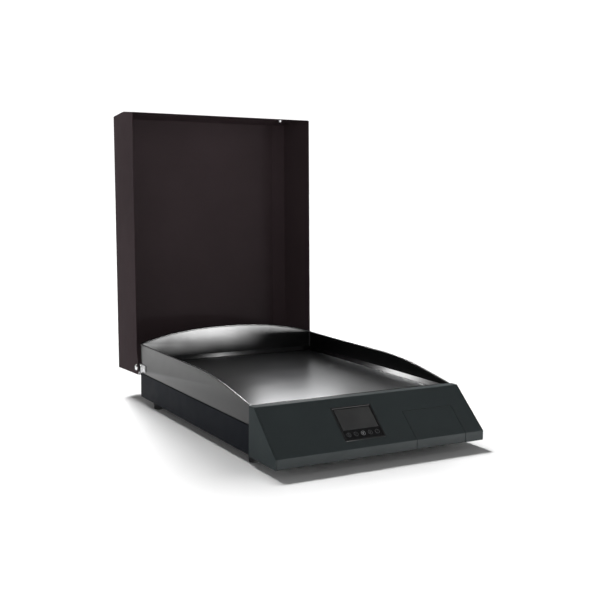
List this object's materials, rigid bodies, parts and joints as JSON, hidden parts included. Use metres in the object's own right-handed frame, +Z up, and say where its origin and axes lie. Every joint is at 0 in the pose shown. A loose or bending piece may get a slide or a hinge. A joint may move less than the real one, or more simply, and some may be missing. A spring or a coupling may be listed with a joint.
{
  "type": "countertop electric griddle",
  "caption": "Countertop electric griddle: hinged folded-steel lid, enamelled splash guard round a polished plate, sloping touch-display housing and sliding grease drawer.",
  "frame": {"origin": "on the table, under the centre of the bounding box with the lid open", "axes": "+Z up, -Y towards the front of the control housing, +X to the right of someone facing the front"},
  "size_m": [0.4634, 0.8288, 0.657],
  "materials": {
    "casing_paint": "satin blue-black powder coat",
    "housing_paint": "matt dark grey powder coat",
    "lid_paint": "satin brown-black paint",
    "enamel": "glossy black vitreous enamel on steel",
    "plate_steel": "polished dark cooking steel",
    "stainless": "bright stainless steel",
    "galvanised": "zinc-plated sheet steel",
    "aluminium": "mill finish",
    "foot_rubber": "matt black rubber",
    "black_plastic": "fine-grained black plastic",
    "display_glass": "tinted glass",
    "circuit_board": "green solder mask",
    "ceramic": "unglazed white ceramic",
    "mineral_wool": "compressed mineral wool",
    "cable_sheath": "silicone cable sheath"
  },
  "bodies": {
    "base": {"base_pan": "casing_paint", "front_housing": "housing_paint", "end_cap_left": "housing_paint", "end_cap_right": "housing_paint", "splash_guard": "enamel", "cooking_plate": "plate_steel", "drain_chute": "stainless", "heating_element_left": "stainless", "heating_element_right": "stainless", "thermostat_probe": "stainless", "inlet_pin_live": "stainless", "inlet_pin_neutral": "stainless", "inlet_pin_earth": "stainless", "hinge_bracket_left": "stainless", "pivot_bolt_left": "stainless", "pivot_nut_left": "stainless", "hinge_bracket_right": "stainless", "pivot_bolt_right": "stainless", "pivot_nut_right": "stainless", "bracket_screw_left_1": "stainless", "bracket_screw_left_2": "stainless", "bracket_screw_right_1": "stainless", "bracket_screw_right_2": "stainless", "heat_shield": "galvanised", "lcd_module": "galvanised", "drawer_rail_left": "galvanised", "drawer_rail_right": "galvanised", "plate_post_front_left": "galvanised", "plate_post_front_right": "galvanised", "plate_post_rear_left": "galvanised", "plate_post_rear_right": "galvanised", "element_clamp_plate": "aluminium", "heat_sink": "aluminium", "foot_front_left": "foot_rubber", "foot_front_right": "foot_rubber", "foot_rear_left": "foot_rubber", "foot_rear_right": "foot_rubber", "seal_strip": "foot_rubber", "mains_inlet": "black_plastic", "display_bezel": "black_plastic", "hinge_washer_left": "black_plastic", "hinge_washer_right": "black_plastic", "display_glass": "display_glass", "power_board": "circuit_board", "control_board": "circuit_board", "safety_cutout": "ceramic", "terminal_block": "ceramic", "insulation_blanket": "mineral_wool", "inlet_lead": "cable_sheath", "mains_lead": "cable_sheath", "element_lead_left": "cable_sheath", "element_lead_right": "cable_sheath", "signal_cable": "cable_sheath"},
    "lid": {"lid_shell": "lid_paint", "lid_stud": "stainless"},
    "drawer": {"drawer_front": "housing_paint", "drawer_bracket": "galvanised", "grease_tray": "stainless"}
  },
  "joints": [
    {"name": "lid_hinge", "type": "hinge", "parent": "base", "child": "lid", "pos_m": [0, 0.24951, 0.081], "axis": [1, 0, 0], "range_deg": [0, 89.4]},
    {"name": "drawer_slide", "type": "slide", "parent": "base", "child": "drawer", "axis": [0, -1, 0], "range_m": [0, 0.2]}
  ]
}
